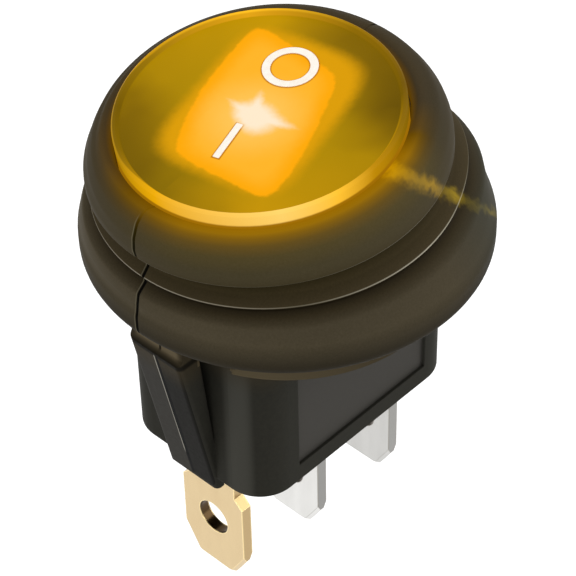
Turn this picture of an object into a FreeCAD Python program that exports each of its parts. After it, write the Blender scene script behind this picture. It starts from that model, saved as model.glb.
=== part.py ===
"""Round sealed rocker switch with a lit cap, for a 20 mm panel hole.

Lengths are in millimetres and angles in degrees. The origin is on the collar's axis in the
plane of the panel's front face, where the rubber boot's bead seats. +Z points out of the panel
and +X runs along the row of tabs, away from the lamp tab. The rocker is shown pressed at its
-X side, which closes the contact at +X. What moves with the rocker is drawn upright here and
is then leaned about the rocker's axle.
"""
import FreeCAD, Part
import math
import os

V = FreeCAD.Vector

# The panel hole and the housing's collar in it
panel_hole_diameter = 20.0
collar_play = 0.1
collar_depth = 2.3
collar_gap_width = 8.0
flange_diameter = 22.4
flange_thickness = 1.6

# The housing's box behind the panel
body_length = 17.8
body_width = 11.9
body_depth = 12.6
body_corner = 2.5
end_wall = 1.2
side_wall = 1.2
cavity_corner = 1.0
floor_thickness = 0.75
seal_thickness = 0.75
seal_recess = 0.1
rating_panel_length = 11.6
rating_panel_shift = 0.24
rating_panel_depth = 0.25
rating_panel_foot = 1.3

# The snap wings at both ends of the housing
wing_width = 4.2
wing_edge_radius = 0.35
wing_reach = 2.5
wing_ridge_drop = 1.5
wing_head_reach = 2.2
wing_head_drop = 0.35
wing_tail = 1.1
wing_thickness = 1.15
wing_slot_depth = 8.2

# The rocker's axle and lean
axle_drop = 4.3
rocker_lean = 7.8
axle_diameter = 3.0
axle_play = 0.04
axle_length = 1.1
axle_boss_diameter = 5.2
axle_boss_reach = 0.6
side_play = 0.15

# The rocker's carrier
core_play = 0.55
core_foot = 1.6
arm_thickness = 1.7
arm_rise = 0.5
crown_radius = 9.0
crown_height = 5.1
crown_floor = 1.0
lens_ledge_height = 7.9
lens_ledge_width = 1.05
seat_play = 0.1

# The amber cap and the diffuser under it
cap_radius = 8.45
cap_face_radius = 8.0
cap_face_height = 10.95
cap_rim_height = 11.25
cap_rim_crest = 8.3
cap_face_thickness = 1.3
cap_skirt_wall = 0.9
diffuser_length = 10.8
diffuser_width = 7.1
diffuser_corner = 1.2
diffuser_thickness = 1.0
diffuser_turn = 9.0

# The rubber boot
bead_radius = 12.5
bead_foot_radius = 11.3
bead_height = 2.75
bead_middle = 1.6
bead_neck_radius = 12.2
gasket_thickness = 0.8
boot_wall = 0.85
fold_wall = 0.55
boot_play = 0.1
lip_radius = 11.0
lip_height = 5.6
fold_radius = 10.0
fold_height = 6.9
dome_radius = 10.76
dome_foot_height = 7.72
dome_middle = 8.35
dome_crest_radius = 9.2
dome_crest_height = 10.72
mouth_height = 10.35
boot_top_thickness = 1.05
throat_radius = 10.1
throat_height = 3.2
clamp_ring_height = 1.0
clamp_ring_wall = 0.6

# The lamp
led_radius = 1.5
led_flange_radius = 1.9
led_flange_thickness = 0.5
led_height = 2.3
lead_diameter = 0.45
lead_spacing = 2.54
resistor_radius = 0.8
resistor_length = 3.6
resistor_place = 4.6
cup_radius = 1.25
cup_thickness = 0.4
cup_stem_radius = 0.4
cup_play = 0.3
lamp_contact_inset = 1.8

# The plunger and its spring
plunger_radius = 1.25
plunger_play = 0.06
plunger_length = 3.6
plunger_boss_radius = 2.1
plunger_nose_length = 1.1
plunger_stem_radius = 0.5
plunger_stem_length = 1.2
plunger_spring_length = 2.1

# The coil springs
wire_radius = 0.14
plunger_spring_radius = 0.9
plunger_spring_turns = 5
lamp_spring_radius = 0.9
lamp_spring_turns = 6
spring_play = 0.03

# The see-saw blade and its contacts
blade_lean = 4.0
blade_thickness = 0.8
blade_edge_play = 0.25
blade_short_inset = 2.4
blade_end_play = 0.1
blade_play = 0.06
fulcrum_rise = 1.9
fulcrum_play = 0.04
fulcrum_seat = 0.3
contact_inset = 1.7
contact_radius = 1.1
contact_thickness = 0.5
fixed_contact_thickness = 0.45
contact_play = 0.03
rivet_radius = 0.6

# The tabs
tab_inset = 1.9
tab_width = 5.2
tab_thickness = 0.8
tab_tip_depth = 24.1
lamp_tab_tip_depth = 23.3
tab_tip_width = 3.1
tab_tip_length = 1.8
tab_tip_corner = 0.5
tab_tip_bevel = 0.25
tab_slot_play = 0.1
neck_width = 3.9
neck_depth = 4.0
shelf_reach = 3.2
ear_width = 0.45
ear_height = 0.7
solder_eye_diameter = 2.5
solder_eye_rise = 4.35

# Places and sizes that follow
collar_radius = panel_hole_diameter / 2 - collar_play
half_length = body_length / 2
half_width = body_width / 2
flange_top = gasket_thickness + flange_thickness
cavity_half_length = half_length - end_wall
cavity_half_width = half_width - side_wall
seal_top = -body_depth + seal_recess + seal_thickness
floor_top = seal_top + floor_thickness
axle = V(0, 0, -axle_drop)
boss_face = cavity_half_width - axle_boss_reach
core_half_width = boss_face - side_play
cap_under = cap_face_height - cap_face_thickness
cup_wall_inner = cap_radius + seat_play
mouth_radius = cap_radius + boot_play
mouth_bottom = dome_crest_height - boot_top_thickness - boot_play
inner_dome_radius = dome_radius - boot_wall
shelf_top = floor_top + tab_thickness
contact_seat = shelf_top + fixed_contact_thickness
tab_pitch = half_length - tab_inset
contact_x = tab_pitch - contact_inset
lamp_contact_x = tab_pitch - lamp_contact_inset
lamp_contact_y = cavity_half_width - cup_radius - cup_play
arm_reach = lamp_contact_x + cup_radius - 0.05
core_length = 2 * (lamp_contact_x - cup_radius - core_play)
fulcrum_radius = tab_thickness / 2
fulcrum_height = floor_top + fulcrum_rise
blade_under = fulcrum_height + fulcrum_radius + fulcrum_play - fulcrum_seat
blade_top = blade_under + blade_thickness
blade_width = 2 * (lamp_contact_y - cup_radius - blade_edge_play)
blade_long_arm = tab_pitch - tab_thickness / 2 - blade_end_play
blade_short_arm = tab_pitch - blade_short_inset
plunger_nose = blade_top + blade_play
plunger_centre = plunger_nose + plunger_radius
plunger_top = plunger_nose + plunger_length
boss_foot = plunger_nose + plunger_nose_length
chamber_top = plunger_top + plunger_spring_length


def block(x0, x1, y0, y1, z0, z1):
    """A box between two corners."""
    return Part.makeBox(x1 - x0, y1 - y0, z1 - z0, V(x0, y0, z0))


def centred(length, width, z0, z1):
    """A box about the Z axis."""
    return block(-length / 2, length / 2, -width / 2, width / 2, z0, z1)


def rod(radius, z0, z1, x=0.0, y=0.0):
    """A round bar along Z."""
    return Part.makeCylinder(radius, z1 - z0, V(x, y, z0))


def cross_rod(radius, y0, y1, x, z):
    """A round bar along Y."""
    return Part.makeCylinder(radius, y1 - y0, V(x, y0, z), V(0, 1, 0))


def rounded(length, width, corner, z0, z1):
    """A block about the Z axis with its four upright edges rounded."""
    shape = centred(length, width, z0, z1)
    upright = [e for e in shape.Edges if abs(e.tangentAt(e.FirstParameter).z) > 0.9]
    return shape.makeFillet(corner, upright)


def polygon(points):
    """A flat face from its corners."""
    return Part.Face(Part.makePolygon(points + points[:1]))


def turned(points):
    """A solid of revolution about Z from (radius, height) corners."""
    face = polygon([V(r, 0, z) for r, z in points])
    return face.revolve(V(0, 0, 0), V(0, 0, 1), 360)


def joined(first, *others):
    """One solid from pieces that meet."""
    shape = first
    for other in others:
        shape = shape.fuse(other)
    return shape.removeSplitter()


def mirrored_x(shape):
    """The shape's mirror image across the plane x = 0."""
    return shape.mirror(V(0, 0, 0), V(1, 0, 0))


def mirrored_y(shape):
    """The shape's mirror image across the plane y = 0."""
    return shape.mirror(V(0, 0, 0), V(0, 1, 0))


def leaned(shape, share=1.0):
    """A copy leaned about the axle, by a share of the rocker's lean to its -X side."""
    copy = shape.copy()
    copy.rotate(axle, V(0, 1, 0), -rocker_lean * share)
    return copy


def ring(radius, height, share):
    """A circle of the boot's wall, leaned by a share of the rocker's lean."""
    return leaned(Part.Wire(Part.makeCircle(radius, V(0, 0, height))), share)


def housing():
    """The nylon moulding: flange, collar, box, axle bosses and snap wings."""
    box = rounded(body_length, body_width, body_corner, -body_depth, 0)
    collar = rod(collar_radius, -collar_depth, gasket_thickness)
    for side in (-1, 1):
        near, far = sorted((side * half_length, side * (collar_radius + 1)))
        half_gap = collar_gap_width / 2
        collar = collar.cut(block(near, far, -half_gap, half_gap, -collar_depth, 0))
    flange = rod(flange_diameter / 2, gasket_thickness, flange_top)
    shape = joined(box, collar, flange)
    cavity = rounded(2 * cavity_half_length, 2 * cavity_half_width, cavity_corner,
                     floor_top, flange_top)
    shape = shape.cut(cavity)
    underside = rounded(2 * cavity_half_length, 2 * cavity_half_width, cavity_corner,
                        -body_depth, seal_top)
    shape = shape.cut(underside)
    for side in (-1, 1):
        boss = cross_rod(axle_boss_diameter / 2, boss_face, cavity_half_width + side_wall / 2,
                         0, -axle_drop)
        hole = cross_rod(axle_diameter / 2 + axle_play, boss_face,
                         boss_face + axle_length + axle_play, 0, -axle_drop)
        if side < 0:
            boss, hole = mirrored_y(boss), mirrored_y(hole)
        shape = joined(shape, boss).cut(hole)
        near, far = sorted((side * (half_width - rating_panel_depth), side * half_width))
        shape = shape.cut(block(rating_panel_shift - rating_panel_length / 2,
                                rating_panel_shift + rating_panel_length / 2, near, far,
                                -body_depth + rating_panel_foot, -collar_depth))
    for place in tab_places():
        shape = shape.cut(tab_slot(place))
    wing = snap_wing()
    return joined(shape, wing, mirrored_x(wing))


def snap_wing():
    """One springy wing, joined to the box at its foot and free at its ridge."""
    foot = -body_depth - wing_tail
    ridge = half_length + wing_reach
    head = half_length + wing_head_reach
    slot_end = -wing_ridge_drop - wing_slot_depth
    outline = [V(half_length - end_wall / 2, 0, foot), V(half_length, 0, foot),
               V(ridge, 0, -wing_ridge_drop), V(head, 0, -wing_ridge_drop + wing_head_drop),
               V(head, 0, -wing_head_drop), V(head - wing_thickness, 0, -wing_head_drop),
               V(half_length, 0, slot_end), V(half_length - end_wall / 2, 0, slot_end)]
    face = polygon(outline)
    face.translate(V(0, -wing_width / 2, 0))
    wing = face.extrude(V(0, wing_width, 0))
    middle = (half_length + ridge) / 2
    long = [e for e in wing.Edges if abs(e.CenterOfMass.x - middle) < 0.01
            and abs(e.tangentAt(e.FirstParameter).y) < 0.01]
    return wing.makeFillet(wing_edge_radius, long)


def tab_places():
    """The tabs' places along X: lamp, line and load."""
    return (-tab_pitch, 0.0, tab_pitch)


def tab_slot(place):
    """The slot in the housing's floor that a tab comes down through."""
    half_thickness = tab_thickness / 2 + tab_slot_play
    half = tab_width / 2 + tab_slot_play
    return block(place - half_thickness, place + half_thickness, -half, half,
                 seal_top, floor_top)


def base_seal():
    """The cast resin that closes the housing's underside round the tabs."""
    shape = rounded(2 * cavity_half_length, 2 * cavity_half_width, cavity_corner,
                    seal_top - seal_thickness, seal_top)
    for place, top, tip in zip(tab_places(), (shelf_top,) * 3, tab_tips()):
        shape = shape.cut(tab_plate(place, top, tip))
    return shape


def tab_tips():
    """How deep each tab's tip lies: lamp, line and load."""
    return (lamp_tab_tip_depth, tab_tip_depth, tab_tip_depth)


def tab_plate(place, top, tip):
    """A tab's flat blade with its grip notches, its soldering eye and its bevelled tip."""
    half, neck, point = tab_width / 2, neck_width / 2, tab_tip_width / 2
    shoulder = -body_depth - neck_depth
    step = half - neck
    right = [(half, top), (half, seal_top), (neck, seal_top - step), (neck, shoulder + step),
             (half, shoulder), (half, -tip + tab_tip_length), (point, -tip)]
    left = [(-y, z) for y, z in reversed(right)]
    face = polygon([V(place - tab_thickness / 2, y, z) for y, z in right + left])
    plate = face.extrude(V(tab_thickness, 0, 0))
    cross = [e for e in plate.Edges if abs(e.tangentAt(e.FirstParameter).x) > 0.9
             and e.CenterOfMass.z < -tip + 0.01]
    plate = plate.makeFillet(tab_tip_corner, cross)
    rim = [e for e in plate.Edges if abs(e.tangentAt(e.FirstParameter).x) < 0.1
           and e.CenterOfMass.z < -tip + tab_tip_length - 0.01]
    plate = plate.makeChamfer(tab_tip_bevel, rim)
    eye = Part.makeCylinder(solder_eye_diameter / 2, tab_thickness,
                            V(place - tab_thickness / 2, 0, -tip + solder_eye_rise), V(1, 0, 0))
    return plate.cut(eye)


def tab_shelf(place, y0, y1):
    """The inner end of a tab, folded towards the middle of the switch."""
    towards = -1 if place > 0 else 1
    near, far = sorted((place - towards * tab_thickness / 2,
                        place + towards * (shelf_reach - tab_thickness / 2)))
    return block(near, far, y0, y1, floor_top, shelf_top)


def terminal_load():
    """The +X tab, whose shelf carries the fixed contact and a lamp spring."""
    plate = tab_plate(tab_pitch, shelf_top, tab_tip_depth)
    shelf = tab_shelf(tab_pitch, -tab_width / 2, lamp_contact_y + cup_radius)
    hole = rod(rivet_radius, floor_top, shelf_top, contact_x)
    return joined(plate, shelf).cut(hole)


def terminal_lamp():
    """The gold lamp tab at -X, with a shelf under a lamp spring."""
    plate = tab_plate(-tab_pitch, shelf_top, lamp_tab_tip_depth)
    shelf = tab_shelf(-tab_pitch, -tab_width / 2, lamp_contact_y + cup_radius)
    return joined(plate, shelf)


def terminal_line():
    """The middle tab, whose rounded top edge is the blade's fulcrum between two ears."""
    plate = tab_plate(0.0, floor_top, tab_tip_depth)
    half = blade_width / 2
    inner = half + side_play
    outer = inner + ear_width
    post = block(-fulcrum_radius, fulcrum_radius, -outer, outer, floor_top, fulcrum_height)
    edge = cross_rod(fulcrum_radius, -inner, inner, 0, fulcrum_height)
    shape = joined(plate, post, edge)
    for y0, y1 in ((-outer, -inner), (inner, outer)):
        shape = joined(shape, block(-fulcrum_radius, fulcrum_radius, y0, y1, fulcrum_height,
                                    blade_under + ear_height))
    return shape


def fixed_contact():
    """The silver rivet on the load tab's shelf."""
    head = rod(contact_radius, shelf_top, contact_seat, contact_x)
    return joined(head, rod(rivet_radius, floor_top, shelf_top, contact_x))


def blade_pose(shape):
    """Leans a piece of the see-saw about its fulcrum, with the +X arm down."""
    copy = shape.copy()
    copy.rotate(V(0, 0, fulcrum_height), V(0, 1, 0), blade_lean)
    return copy


def contact_blade():
    """The copper see-saw, with a half-round seat pressed in its underside."""
    blade = block(-blade_short_arm, blade_long_arm, -blade_width / 2, blade_width / 2,
                  blade_under, blade_top)
    corners = [e for e in blade.Edges if abs(e.tangentAt(e.FirstParameter).z) > 0.9]
    blade = blade.makeFillet(blade_width / 4, corners)
    seat = cross_rod(fulcrum_radius + fulcrum_play, -blade_width, blade_width, 0, fulcrum_height)
    hole = rod(rivet_radius, blade_under, blade_top, contact_x)
    return blade_pose(blade.cut(seat).cut(hole))


def moving_contact_drop():
    """How far the moving contact's face stands below the blade, so that it meets its seat."""
    lean = math.radians(blade_lean)
    rise = (contact_seat + contact_play - fulcrum_height) / math.cos(lean)
    return blade_under - fulcrum_height - rise - contact_x * math.tan(lean)


def moving_contact():
    """The silver rivet in the blade, with a crowned face."""
    drop = moving_contact_drop()
    dome_height = contact_thickness / 3
    ball = (contact_radius ** 2 + dome_height ** 2) / (2 * dome_height)
    low = blade_under - drop
    head = rod(contact_radius, low, blade_under, contact_x)
    crown = Part.makeSphere(ball, V(contact_x, 0, low + ball))
    head = head.common(crown)
    return blade_pose(joined(head, rod(rivet_radius, blade_under, blade_top, contact_x)))


def sealing_boot():
    """The rubber boot, closed from bands that meet at circles all the way round its wall."""
    middle_rise = (lip_height - bead_height) / 2
    top = dome_crest_height - boot_top_thickness
    foot = [(collar_radius, 0.0, 0.0), (bead_foot_radius, 0.0, 0.0)]
    neck = (bead_neck_radius, bead_height, 0.0)
    tuck = (lip_radius - 0.2, lip_height - 0.45, 0.56)
    lip = (lip_radius, lip_height, 0.6)
    dome_foot = (dome_radius, dome_foot_height, 0.88)
    crest = (dome_crest_radius, dome_crest_height, 1.0)
    mouth = (mouth_radius, mouth_height, 1.0)
    seat = [(mouth_radius, top, 1.0), (inner_dome_radius, top, 1.0)]
    throat = [(throat_radius, throat_height, 0.0), (throat_radius, flange_top, 0.0)]
    pocket = [(flange_diameter / 2, flange_top, 0.0), (flange_diameter / 2, gasket_thickness, 0.0),
              (collar_radius, gasket_thickness, 0.0), foot[0]]
    shoulder = [neck, (bead_neck_radius - 0.05, bead_height + 0.4 * middle_rise, 0.25),
                (bead_neck_radius - 0.45, bead_height + 1.1 * middle_rise, 0.42), tuck]
    fold = [lip, (fold_radius + 0.3, (lip_height + fold_height) / 2, 0.68),
            (fold_radius, fold_height, 0.78),
            (fold_radius + 0.3, (fold_height + dome_foot_height) / 2 + 0.2, 0.84), dome_foot]
    dome = [dome_foot, (dome_radius + 0.02, dome_middle, 0.92),
            (dome_radius - 0.2, dome_middle + 0.9, 0.97),
            (dome_crest_radius + 0.8, dome_crest_height - 0.42, 1.0), crest]
    lining = [seat[1], (inner_dome_radius, dome_middle, 0.93),
              (fold_radius - fold_wall, dome_foot_height - 0.3, 0.86),
              (fold_radius - fold_wall, fold_height - 0.2, 0.78),
              (lip_radius - boot_wall, lip_height - 0.3, 0.57),
              (bead_neck_radius - boot_wall - 0.1, throat_height + 0.8, 0.3),
              (bead_neck_radius - boot_wall, throat_height, 0.0)]
    straight = [foot, [tuck, lip], [crest, mouth], [mouth, seat[0]], seat,
                [lining[-1], throat[0]], throat, [throat[1], pocket[0]],
                pocket[:2], pocket[1:3], pocket[2:]]
    faces = bead_face().Faces
    for band in straight + [shoulder, fold, dome, lining]:
        faces += boot_band(band).Faces
    shell = Part.makeShell(faces)
    shell.sewShape()
    return Part.makeSolid(shell)


def bead_face():
    """The round outer face of the boot's bead."""
    foot = V(bead_foot_radius, 0, 0)
    widest = V(bead_radius, 0, bead_middle)
    neck = V(bead_neck_radius, 0, bead_height)
    hip = (bead_foot_radius + bead_radius) / 2
    low = Part.Arc(foot, V(hip + 0.36, 0, bead_middle * 0.34), widest).toShape()
    high = Part.Arc(widest, V(bead_radius - 0.06, 0, (bead_middle + bead_height) / 2), neck)
    profile = Part.Wire([low, high.toShape()])
    return profile.revolve(V(0, 0, 0), V(0, 0, 1), 360)


def boot_band(rings):
    """The skin through circles given as (radius, height, share of the lean)."""
    if len(rings) > 2 or rings[0][2] != rings[1][2]:
        return Part.makeLoft([ring(*one) for one in rings], False, len(rings) == 2)
    ends = [V(radius, 0, height) for radius, height, _ in rings]
    line = Part.LineSegment(*ends).toShape()
    return leaned(line.revolve(V(0, 0, 0), V(0, 0, 1), 360), rings[0][2])


def rocker_carrier():
    """The nylon rocker: axle pins, plunger boss, lamp arms and the cup under the cap."""
    z = -axle_drop
    core = centred(core_length, 2 * core_half_width, z - core_foot, crown_height)
    pins = cross_rod(axle_diameter / 2, -boss_face - axle_length, boss_face + axle_length, 0, z)
    boss = rod(plunger_boss_radius, boss_foot, crown_height)
    floor = rod(crown_radius, crown_height, crown_height + crown_floor)
    wall = turned([(cap_radius + seat_play - lens_ledge_width, crown_height + crown_floor),
                   (crown_radius, crown_height + crown_floor),
                   (crown_radius, mouth_bottom),
                   (cup_wall_inner, mouth_bottom),
                   (cup_wall_inner, lens_ledge_height),
                   (cap_radius + seat_play - lens_ledge_width, lens_ledge_height)])
    shape = joined(core, pins, boss, floor, wall)
    arm_y0 = lamp_contact_y - cup_radius
    arm_y1 = lamp_contact_y + cup_radius
    for side in (-1, 1):
        near, far = sorted((side * core_length / 2, side * arm_reach))
        low = z + arm_rise
        shape = joined(shape, block(near, far, arm_y0, arm_y1, low, low + arm_thickness))
        shape = shape.cut(rod(cup_stem_radius, low, low + arm_thickness,
                              side * lamp_contact_x, lamp_contact_y))
        shape = shape.cut(rod(lead_diameter / 2 + spring_play, crown_height,
                              crown_height + crown_floor, side * lead_spacing / 2))
    bore = rod(plunger_radius + plunger_play, plunger_nose, chamber_top)
    return leaned(shape.cut(bore))


def clamp_ring():
    """The stiff ring that holds the boot's dome out round the rocker's cup."""
    top = mouth_bottom
    outline = [(crown_radius, top - clamp_ring_height),
               (crown_radius + clamp_ring_wall, top - clamp_ring_height),
               (crown_radius + clamp_ring_wall, top), (crown_radius, top)]
    return leaned(turned(outline))


def amber_cap():
    """The round amber cap with its raised rim and its skirt in the cup."""
    outline = [(0, cap_under), (cap_radius - cap_skirt_wall, cap_under),
               (cap_radius - cap_skirt_wall, lens_ledge_height), (cap_radius, lens_ledge_height),
               (cap_radius, cap_rim_height - 0.1), (cap_radius - 0.1, cap_rim_height),
               (cap_rim_crest - 0.1, cap_rim_height), (cap_face_radius, cap_face_height),
               (0, cap_face_height)]
    return leaned(turned(outline))


def diffuser():
    """The bright window bonded under the cap, turned a little in its round seat."""
    shape = rounded(diffuser_length, diffuser_width, diffuser_corner,
                    cap_under - diffuser_thickness, cap_under)
    shape.rotate(V(0, 0, 0), V(0, 0, 1), diffuser_turn)
    return leaned(shape)


def led():
    """The lamp: a flanged dome on two leads through the crown's floor."""
    seat = crown_height + crown_floor
    low = seat + led_flange_thickness
    shoulder = seat + led_height - led_radius
    body = rod(led_radius, low, shoulder)
    flange = rod(led_flange_radius, seat, low)
    dome = Part.makeSphere(led_radius, V(0, 0, shoulder), V(0, 0, 1), 0, 90)
    shape = joined(flange, body, dome)
    for side in (-1, 1):
        shape = joined(shape, rod(lead_diameter / 2, crown_height, seat, side * lead_spacing / 2))
    return leaned(shape)


def lamp_resistor():
    """The lamp's series resistor, lying on the crown's floor."""
    seat = crown_height + crown_floor
    half, cap = resistor_length / 2, resistor_length / 5
    waist = resistor_radius * 0.82
    outline = [(0, -half), (resistor_radius, -half), (resistor_radius, -half + cap),
               (waist, -half + cap + 0.1), (waist, half - cap - 0.1), (resistor_radius, half - cap),
               (resistor_radius, half), (0, half)]
    shape = turned(outline)
    shape.rotate(V(0, 0, 0), V(1, 0, 0), 90)
    shape.translate(V(-resistor_place, 0, seat + resistor_radius))
    return leaned(shape)


def lamp_cup(side):
    """A brass contact under one of the rocker's arms, which a lamp spring presses."""
    low = -axle_drop + arm_rise
    x = side * lamp_contact_x
    head = rod(cup_radius, low - cup_thickness, low, x, lamp_contact_y)
    stem = rod(cup_stem_radius, low, low + arm_thickness, x, lamp_contact_y)
    return leaned(joined(head, stem))


def plunger():
    """The round-nosed pin that the spring drives down onto the blade."""
    nose = Part.makeSphere(plunger_radius, V(0, 0, plunger_centre), V(0, 0, 1), -90, 0)
    shape = joined(rod(plunger_radius, plunger_centre, plunger_top), nose,
                   rod(plunger_stem_radius, plunger_top, plunger_top + plunger_stem_length))
    return leaned(shape)


def coil(radius, turns, z0, z1):
    """A coil spring between two heights, of tilted half rings that run into one another."""
    low, high = z0 + wire_radius, z1 - wire_radius
    rise = (high - low) / (2 * turns)
    tilt = math.atan2(rise, 2 * radius)
    faces = []
    for half in range(2 * turns):
        side = 1 if half % 2 == 0 else -1
        start = V(side * radius, 0, low + half * rise)
        centre = V(0, 0, low + (half + 0.5) * rise)
        wire = Part.makeCircle(wire_radius, start, V(0, 1, 0))
        axis = V(side * math.sin(tilt), 0, math.cos(tilt))
        faces += wire.revolve(centre, axis, 180).Faces
    for end in (V(radius, 0, low), V(radius, 0, high)):
        faces.append(Part.Face(Part.Wire(Part.makeCircle(wire_radius, end, V(0, 1, 0)))))
    shell = Part.makeShell(faces)
    shell.sewShape()
    return Part.makeSolid(shell)


def plunger_spring():
    """The spring over the plunger's stem."""
    return leaned(coil(plunger_spring_radius, plunger_spring_turns,
                       plunger_top + spring_play, chamber_top - spring_play))


def lamp_spring(side):
    """A spring that feeds the lamp, from a tab's shelf up to the rocker's arm."""
    face = leaned(Part.Vertex(V(side * lamp_contact_x, lamp_contact_y,
                                -axle_drop + arm_rise - cup_thickness))).Point
    slope = math.tan(math.radians(rocker_lean))
    high = face.z - (lamp_spring_radius + 2 * wire_radius) * slope - spring_play
    shape = coil(lamp_spring_radius, lamp_spring_turns, shelf_top + spring_play, high)
    shape.translate(V(side * lamp_contact_x, lamp_contact_y, 0))
    return shape


def make_parts():
    """Every piece by its name."""
    return {
        "housing": housing(),
        "base_seal": base_seal(),
        "terminal_lamp": terminal_lamp(),
        "terminal_line": terminal_line(),
        "terminal_load": terminal_load(),
        "fixed_contact": fixed_contact(),
        "contact_blade": contact_blade(),
        "moving_contact": moving_contact(),
        "sealing_boot": sealing_boot(),
        "rocker_carrier": rocker_carrier(),
        "clamp_ring": clamp_ring(),
        "amber_cap": amber_cap(),
        "diffuser": diffuser(),
        "led": led(),
        "lamp_resistor": lamp_resistor(),
        "lamp_cup_lamp": lamp_cup(-1),
        "lamp_cup_load": lamp_cup(1),
        "plunger": plunger(),
        "plunger_spring": plunger_spring(),
        "lamp_spring_lamp": lamp_spring(-1),
        "lamp_spring_load": lamp_spring(1),
    }


def main():
    """Writes each piece to its own file."""
    os.makedirs("parts", exist_ok=True)
    for name, shape in make_parts().items():
        box = shape.BoundBox
        print(f"{name:18s} solids {len(shape.Solids)} valid {shape.isValid()} "
              f"volume {shape.Volume:8.2f} x {box.XMin:.2f} {box.XMax:.2f} "
              f"y {box.YMin:.2f} {box.YMax:.2f} z {box.ZMin:.2f} {box.ZMax:.2f}")
        shape.exportStep(f"parts/{name}.step")


main()
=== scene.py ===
# %% [markdown]
# This lesson dresses a round, lit rocker switch. Its hard parts come from a CAD model as
# finished meshes, and they stay as they are. We load them first.

# %% Load the switch
import math

import bmesh
import bpy
from mathutils import Matrix, Vector


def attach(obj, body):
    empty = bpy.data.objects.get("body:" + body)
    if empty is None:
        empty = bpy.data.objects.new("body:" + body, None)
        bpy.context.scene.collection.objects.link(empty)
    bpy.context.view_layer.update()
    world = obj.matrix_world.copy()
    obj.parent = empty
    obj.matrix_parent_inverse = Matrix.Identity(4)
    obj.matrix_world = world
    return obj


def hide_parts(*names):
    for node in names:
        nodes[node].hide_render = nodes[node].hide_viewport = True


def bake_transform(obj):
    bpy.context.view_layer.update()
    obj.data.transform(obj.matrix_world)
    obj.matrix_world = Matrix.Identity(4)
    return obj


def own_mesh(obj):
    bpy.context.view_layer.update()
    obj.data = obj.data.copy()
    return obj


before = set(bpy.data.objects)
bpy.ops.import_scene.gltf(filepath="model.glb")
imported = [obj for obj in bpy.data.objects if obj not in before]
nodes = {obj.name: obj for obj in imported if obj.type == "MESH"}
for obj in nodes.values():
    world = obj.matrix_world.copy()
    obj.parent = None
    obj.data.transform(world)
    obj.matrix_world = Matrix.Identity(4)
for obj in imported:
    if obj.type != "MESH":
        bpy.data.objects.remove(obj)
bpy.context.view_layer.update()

# %% [markdown]
# Sizes on a drawing are in millimetres, and Blender counts in metres, so one small function
# turns one into the other. The rocker is shown pressed at its I side: it has turned about
# its axle. A second function gives that turn, for everything that sits on the rocker.

# %% Units and the rocker's turn
axle_height = -4.3
lean = math.radians(-7.8)


def mm(*values):
    """Millimetres as metres: a number, or a Vector for three of them."""
    return values[0] / 1000 if len(values) == 1 else Vector(values) / 1000


def leaned(share=1.0):
    """The turn about the axle, as a matrix, for something that leans by that share."""
    axle = mm(0, 0, axle_height)
    turn = Matrix.Rotation(lean * share, 4, "Y")
    return Matrix.Translation(axle) @ turn @ Matrix.Translation(-axle)


def deselect():
    """Leaves edit mode and deselects every object, so that an operator acts on one only."""
    if bpy.context.object and bpy.context.object.mode != "OBJECT":
        bpy.ops.object.mode_set(mode="OBJECT")
    bpy.ops.object.select_all(action="DESELECT")


print("the rocker leans by", round(math.degrees(lean), 1), "degrees")

# %% [markdown]
# The camera is placed by numbers: the side and height it looks from, a slight roll, its
# distance and its focal length in pixels of a 576 pixel wide picture. A focal length in
# pixels becomes a lens in millimetres once it is divided by the picture's width and
# multiplied by the width of the sensor. No depth of field is used, so all of it is sharp.

# %% Camera
around, above, roll = (math.radians(a) for a in (-45.883, 42.426, -1.353))
distance, shift_right, shift_up, aim_height = 141.418, -0.056, 0.1, -4.27
focal_pixels, picture_width, sensor_width = 2304.3, 576, 36
back = Vector((math.sin(around) * math.cos(above), -math.cos(around) * math.cos(above),
               math.sin(above)))
level = Vector((math.cos(around), math.sin(around), 0))
upright = back.cross(level)
right = math.cos(roll) * level + math.sin(roll) * upright
up = math.cos(roll) * upright - math.sin(roll) * level
place = right * mm(shift_right) + up * mm(shift_up) + back * mm(distance)
place += mm(0, 0, aim_height)
look = Matrix((right, up, back)).transposed()
bpy.ops.object.camera_add(location=place, rotation=look.to_euler())
camera = bpy.context.object
camera.data.sensor_width = sensor_width
camera.data.lens = sensor_width * focal_pixels / picture_width
camera.data.clip_start, camera.data.clip_end = 0.01, 20
bpy.context.scene.camera = camera
bpy.context.scene.view_settings.view_transform = "Standard"
print("lens", round(camera.data.lens, 1), "mm")

# %% [markdown]
# Every finish is a tree of shader nodes. Colours are written as the hex values that a paint
# program shows. Blender's shaders work with linear light, so one function does that turn. A
# second one feeds an input: with a value, a colour, or a link from the output that a node
# has in use. With those, one function can add any node.

# %% Helpers for nodes
def colour(text):
    """A hex colour as Blender's linear red, green, blue and alpha."""
    parts = [int(text[i:i + 2], 16) / 255 for i in (0, 2, 4)]
    return tuple(p / 12.92 if p <= 0.04045 else ((p + 0.055) / 1.055) ** 2.4
                 for p in parts) + (1.0,)


def feed(tree, target, value):
    """Gives an input a value, a hex colour, or a link from a socket or from a node."""
    if isinstance(value, bpy.types.Node):
        value = next(output for output in value.outputs if output.enabled)
    if isinstance(value, bpy.types.NodeSocket):
        tree.links.new(value, target)
    else:
        target.default_value = colour(value) if isinstance(value, str) else value


def add(tree, kind, inputs=(), **settings):
    """Adds a shader node with its settings. Its inputs are fed in order, or by name."""
    made = tree.nodes.new("ShaderNode" + kind)
    for name, value in settings.items():
        setattr(made, name, value)
    named = inputs if isinstance(inputs, dict) else dict(enumerate(inputs))
    for name, value in named.items():
        feed(tree, made.inputs[name], value)
    return made


print("amber FFB31A is linear", [round(c, 3) for c in colour("FFB31A")])

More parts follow.
